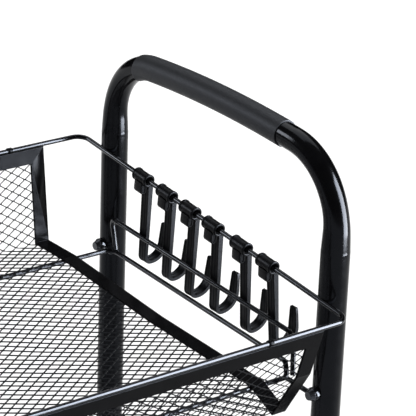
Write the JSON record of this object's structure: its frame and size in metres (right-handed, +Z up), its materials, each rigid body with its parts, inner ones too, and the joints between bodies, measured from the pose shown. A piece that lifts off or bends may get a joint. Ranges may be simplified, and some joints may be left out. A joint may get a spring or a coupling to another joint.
{
  "type": "rolling utility cart",
  "caption": "Slim rolling utility cart: bent tube end frames with gripped push bars, mesh trays on wire frames, clip-on hooks and swivel casters.",
  "frame": {"origin": "on the floor under the middle of the cart", "axes": "+X along the cart to the end with the hooks, +Y to its back, +Z up; the rims fall towards -Y"},
  "size_m": [0.546, 0.3534, 0.8486],
  "materials": {
    "tube_black": "gloss black powder coat",
    "wire_black": "gloss black powder coat",
    "mesh_black": "satin black, expanded diamond mesh",
    "strip_black": "satin black",
    "screw_black": "gloss black",
    "grip_black": "matte",
    "hook_black": "satin moulded",
    "bush_black": "moulded",
    "caster_black": "moulded",
    "wheel_grey": "moulded",
    "tyre": "smooth",
    "steel": "zinc plated"
  },
  "bodies": {
    "cart": {"handle_tube_right": "tube_black", "handle_grip_right": "grip_black", "leg_right_front": "tube_black", "leg_right_back": "tube_black", "handle_tube_left": "tube_black", "handle_grip_left": "grip_black", "leg_left_front": "tube_black", "leg_left_back": "tube_black", "leg_sockets": "bush_black", "rim_wire_top": "wire_black", "tray_mesh_top": "mesh_black", "tray_binding_top": "strip_black", "floor_frame_top": "wire_black", "end_rails_top": "wire_black", "rim_wire_middle": "wire_black", "tray_mesh_middle": "mesh_black", "tray_binding_middle": "strip_black", "floor_frame_middle": "wire_black", "end_rails_middle": "wire_black", "rim_wire_bottom": "wire_black", "tray_mesh_bottom": "mesh_black", "tray_binding_bottom": "strip_black", "floor_frame_bottom": "wire_black", "end_rails_bottom": "wire_black", "tray_lugs": "wire_black", "tray_screws": "screw_black", "rim_clips": "strip_black", "caster_stem_right_front": "steel", "caster_stem_right_back": "steel", "caster_stem_left_front": "steel", "caster_stem_left_back": "steel"},
    "hook_1": {"hook_1": "hook_black"},
    "hook_2": {"hook_2": "hook_black"},
    "hook_3": {"hook_3": "hook_black"},
    "hook_4": {"hook_4": "hook_black"},
    "hook_5": {"hook_5": "hook_black"},
    "hook_6": {"hook_6": "hook_black"},
    "swivel_right_front": {"caster_fork_right_front": "caster_black", "caster_axle_right_front": "steel"},
    "wheel_right_front": {"caster_wheel_right_front": "wheel_grey", "caster_tyre_right_front": "tyre"},
    "brake_right_front": {"brake_pedal_right_front": "caster_black"},
    "swivel_right_back": {"caster_fork_right_back": "caster_black", "caster_axle_right_back": "steel"},
    "wheel_right_back": {"caster_wheel_right_back": "wheel_grey", "caster_tyre_right_back": "tyre"},
    "swivel_left_front": {"caster_fork_left_front": "caster_black", "caster_axle_left_front": "steel"},
    "wheel_left_front": {"caster_wheel_left_front": "wheel_grey", "caster_tyre_left_front": "tyre"},
    "brake_left_front": {"brake_pedal_left_front": "caster_black"},
    "swivel_left_back": {"caster_fork_left_back": "caster_black", "caster_axle_left_back": "steel"},
    "wheel_left_back": {"caster_wheel_left_back": "wheel_grey", "caster_tyre_left_back": "tyre"}
  },
  "joints": [
    {"name": "hook_1_swing", "type": "hinge", "parent": "cart", "child": "hook_1", "pos_m": [0.204, 0.0852, 0.74682], "axis": [0, -0.9968, -0.0797], "range_deg": [0, 100]},
    {"name": "hook_2_swing", "type": "hinge", "parent": "cart", "child": "hook_2", "pos_m": [0.204, 0.0524, 0.74419], "axis": [0, -0.9968, -0.0797], "range_deg": [0, 100]},
    {"name": "hook_3_swing", "type": "hinge", "parent": "cart", "child": "hook_3", "pos_m": [0.204, 0.021, 0.74168], "axis": [0, -0.9968, -0.0797], "range_deg": [0, 100]},
    {"name": "hook_4_swing", "type": "hinge", "parent": "cart", "child": "hook_4", "pos_m": [0.204, -0.0096, 0.73923], "axis": [0, -0.9968, -0.0797], "range_deg": [0, 100]},
    {"name": "hook_5_swing", "type": "hinge", "parent": "cart", "child": "hook_5", "pos_m": [0.204, -0.0456, 0.73635], "axis": [0, -0.9968, -0.0797], "range_deg": [0, 100]},
    {"name": "hook_6_swing", "type": "hinge", "parent": "cart", "child": "hook_6", "pos_m": [0.204, -0.0782, 0.73374], "axis": [0, -0.9968, -0.0797], "range_deg": [0, 100]},
    {"name": "swivel_right_front_turn", "type": "hinge", "parent": "cart", "child": "swivel_right_front", "pos_m": [0.215, -0.1425, 0.055], "axis": [0, 0, 1], "continuous": true},
    {"name": "wheel_right_front_spin", "type": "hinge", "parent": "swivel_right_front", "child": "wheel_right_front", "pos_m": [0.235, -0.1425, 0.025], "axis": [0, 1, 0], "continuous": true},
    {"name": "brake_right_front_press", "type": "hinge", "parent": "swivel_right_front", "child": "brake_right_front", "pos_m": [0.2524, -0.1425, 0.0482], "axis": [0, 1, 0], "range_deg": [0, 25]},
    {"name": "swivel_right_back_turn", "type": "hinge", "parent": "cart", "child": "swivel_right_back", "pos_m": [0.215, 0.1425, 0.055], "axis": [0, 0, 1], "continuous": true},
    {"name": "wheel_right_back_spin", "type": "hinge", "parent": "swivel_right_back", "child": "wheel_right_back", "pos_m": [0.235, 0.1425, 0.025], "axis": [0, 1, 0], "continuous": true},
    {"name": "swivel_left_front_turn", "type": "hinge", "parent": "cart", "child": "swivel_left_front", "pos_m": [-0.215, -0.1425, 0.055], "axis": [0, 0, 1], "continuous": true},
    {"name": "wheel_left_front_spin", "type": "hinge", "parent": "swivel_left_front", "child": "wheel_left_front", "pos_m": [-0.235, -0.1425, 0.025], "axis": [0, 1, 0], "continuous": true},
    {"name": "brake_left_front_press", "type": "hinge", "parent": "swivel_left_front", "child": "brake_left_front", "pos_m": [-0.2524, -0.1425, 0.0482], "axis": [0, -1, 0], "range_deg": [0, 25]},
    {"name": "swivel_left_back_turn", "type": "hinge", "parent": "cart", "child": "swivel_left_back", "pos_m": [-0.215, 0.1425, 0.055], "axis": [0, 0, 1], "continuous": true},
    {"name": "wheel_left_back_spin", "type": "hinge", "parent": "swivel_left_back", "child": "wheel_left_back", "pos_m": [-0.235, 0.1425, 0.025], "axis": [0, 1, 0], "continuous": true}
  ]
}
